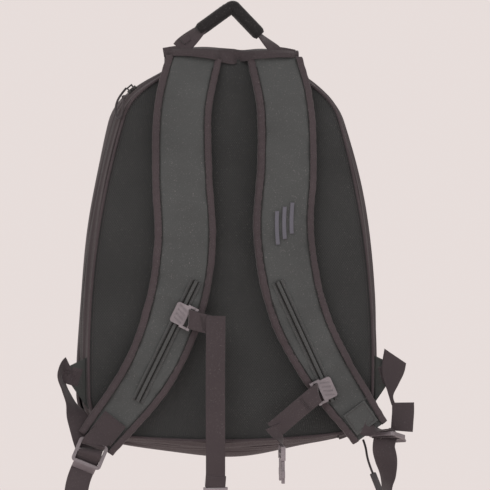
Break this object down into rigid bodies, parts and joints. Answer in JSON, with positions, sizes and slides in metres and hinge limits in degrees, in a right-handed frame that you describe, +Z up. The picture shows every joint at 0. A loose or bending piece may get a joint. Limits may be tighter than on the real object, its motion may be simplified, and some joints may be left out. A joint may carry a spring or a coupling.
{
  "type": "racket backpack",
  "caption": "Soft racket backpack hung by its top handle, with padded shoulder straps, adjusters, sternum buckle, zipped front section and front pocket.",
  "frame": {"origin": "inside of the carry handle's fold, where a hook or peg holds the hung pack", "axes": "+Z up out of the handle, -Y towards the wearer's back, +X to the right as the back panel is looked at"},
  "size_m": [0.3957, 0.2481, 0.576],
  "materials": {
    "mesh_fabric": "spacer mesh",
    "shell_fabric": "woven polyester",
    "base_fabric": "coated woven polyester",
    "strap_fabric": "twill",
    "binding": "grosgrain tape",
    "webbing": "nylon webbing",
    "grip": "padded sleeve",
    "lining": "plain woven lining",
    "foam": "closed-cell foam",
    "sheet": "polyethylene sheet",
    "buckle_plastic": "acetal",
    "lock_plastic": "acetal",
    "zip_tape": "zip tape",
    "zip_metal": "painted die cast",
    "pull": "braided cord",
    "pull_rubber": "moulded"
  },
  "bodies": {
    "pack": {"back_cover": "mesh_fabric", "back_foam": "foam", "frame_sheet": "sheet", "back_lining": "lining", "back_piping": "binding", "rear_gusset": "shell_fabric", "rear_base": "base_fabric", "rear_zip_tape": "zip_tape", "rear_base_hem": "base_fabric", "inner_sleeve": "lining", "top_band": "binding", "handle_anchors": "webbing", "strap_wing_left": "shell_fabric", "strap_wing_right": "shell_fabric", "anchor_webbing_left": "webbing", "anchor_webbing_right": "webbing"},
    "front_section": {"front_zip_tape": "zip_tape", "front_base_hem": "base_fabric", "front_gusset": "shell_fabric", "front_base": "base_fabric", "front_panel": "shell_fabric", "racket_divider": "lining", "pocket_gusset": "shell_fabric", "pocket_face": "shell_fabric", "pocket_zip_tape": "zip_tape"},
    "pocket_slider": {"pocket_slider": "zip_metal"},
    "pocket_pull": {"pocket_pull": "pull_rubber"},
    "carry_handle": {"handle_grip": "grip", "handle_webbing": "webbing"},
    "strap_left": {"strap_pad_left": "strap_fabric", "strap_binding_left": "binding", "sternum_rail_left": "binding", "lock_patch_left": "webbing"},
    "strap_right": {"strap_pad_right": "strap_fabric", "strap_binding_right": "binding", "sternum_rail_right": "binding", "lock_patch_right": "webbing"},
    "sternum_slider_left": {"sternum_slider_left": "buckle_plastic"},
    "sternum_slider_right": {"sternum_slider_right": "buckle_plastic"},
    "sternum_left": {"sternum_webbing_left": "webbing", "sternum_keeper": "webbing", "buckle_socket": "buckle_plastic"},
    "sternum_right": {"sternum_webbing_right": "webbing", "buckle_plug": "buckle_plastic"},
    "buckle_arm_outer": {"buckle_arm_outer": "buckle_plastic"},
    "buckle_arm_inner": {"buckle_arm_inner": "buckle_plastic"},
    "adjuster_left": {"ladder_lock_left": "lock_plastic", "adjuster_tail_left": "webbing"},
    "adjuster_right": {"ladder_lock_right": "lock_plastic", "adjuster_tail_right": "webbing"},
    "zip_slider_left": {"zip_slider_left": "zip_metal"},
    "zip_pull_left": {"zip_cord_left": "pull", "pull_knot": "pull"},
    "zip_slider_right": {"zip_slider_right": "zip_metal"},
    "zip_pull_right": {"zip_cord_right": "pull", "pull_sleeve": "pull_rubber"}
  },
  "joints": [
    {"name": "front_opening", "type": "hinge", "parent": "pack", "child": "front_section", "pos_m": [0, 0.026, -0.4965], "axis": [-1, 0, 0], "range_deg": [0, 40]},
    {"name": "pocket_zip_slide", "type": "slide", "parent": "front_section", "child": "pocket_slider", "axis": [-1, 0, 0], "range_m": [0, 0.144]},
    {"name": "pocket_pull_lift", "type": "hinge", "parent": "pocket_slider", "child": "pocket_pull", "pos_m": [0.072, 0.1921, -0.247], "axis": [1, 0, 0], "range_deg": [0, 60]},
    {"name": "handle_swing", "type": "hinge", "parent": "pack", "child": "carry_handle", "pos_m": [0, 0, -0.037], "axis": [1, 0, 0], "range_deg": [-60, 60]},
    {"name": "strap_left_swing", "type": "hinge", "parent": "pack", "child": "strap_left", "pos_m": [-0.042, -0.004, -0.047], "axis": [-1, 0, 0], "range_deg": [0, 8]},
    {"name": "strap_right_swing", "type": "hinge", "parent": "pack", "child": "strap_right", "pos_m": [0.047, -0.004, -0.047], "axis": [-1, 0, 0], "range_deg": [0, 8]},
    {"name": "sternum_slide_left", "type": "slide", "parent": "strap_left", "child": "sternum_slider_left", "axis": [-0.4411, 0, -0.8974], "range_m": [-0.02, 0.09]},
    {"name": "sternum_slide_right", "type": "slide", "parent": "strap_right", "child": "sternum_slider_right", "axis": [0.4195, 0, -0.9077], "range_m": [-0.11, 0.004]},
    {"name": "sternum_flip_left", "type": "hinge", "parent": "sternum_slider_left", "child": "sternum_left", "pos_m": [-0.04565, -0.031, -0.3333], "axis": [-0.4411, 0, -0.8974], "range_deg": [0, 60]},
    {"name": "sternum_flip_right", "type": "hinge", "parent": "sternum_slider_right", "child": "sternum_right", "pos_m": [0.08829, -0.031, -0.41466], "axis": [-0.4195, 0, 0.9077], "range_deg": [0, 60]},
    {"name": "buckle_arm_outer_flex", "type": "hinge", "parent": "sternum_right", "child": "buckle_arm_outer", "pos_m": [0.05, -0.05265, -0.4834], "axis": [1, 0, 0], "range_deg": [0, 6], "stiffness_Nm_per_rad": 0.02},
    {"name": "buckle_arm_inner_flex", "type": "hinge", "parent": "sternum_right", "child": "buckle_arm_inner", "pos_m": [0.05, -0.02865, -0.4834], "axis": [-1, 0, 0], "range_deg": [0, 6], "stiffness_Nm_per_rad": 0.02},
    {"name": "adjuster_tilt_left", "type": "hinge", "parent": "strap_left", "child": "adjuster_left", "pos_m": [-0.15043, -0.0275, -0.46473], "axis": [-0.9207, 0, 0.3903], "range_deg": [0, 23]},
    {"name": "adjuster_tilt_right", "type": "hinge", "parent": "strap_right", "child": "adjuster_right", "pos_m": [0.16199, -0.02192, -0.45982], "axis": [-0.7217, 0.6816, -0.1203], "range_deg": [0, 23]},
    {"name": "zip_travel_left", "type": "hinge", "parent": "pack", "child": "zip_slider_left", "pos_m": [-0.06642, 0.026, -0.13174], "axis": [0, 1, 0], "range_deg": [-11, 0]},
    {"name": "zip_pull_left_swing", "type": "hinge", "parent": "zip_slider_left", "child": "zip_pull_left", "pos_m": [-0.1155, 0.021, -0.079], "axis": [0, 1, 0], "range_deg": [0, 60]},
    {"name": "zip_travel_right", "type": "hinge", "parent": "pack", "child": "zip_slider_right", "pos_m": [0.10771, 0.026, -0.41503], "axis": [0, 1, 0], "range_deg": [-28, 18]},
    {"name": "zip_pull_right_swing", "type": "hinge", "parent": "zip_slider_right", "child": "zip_pull_right", "pos_m": [0.1495, 0.02, -0.4705], "axis": [0, -1, 0], "range_deg": [0, 60]}
  ],
  "couplings": [
    {"joint": "buckle_arm_inner_flex", "follows": "buckle_arm_outer_flex", "ratio": 1}
  ]
}
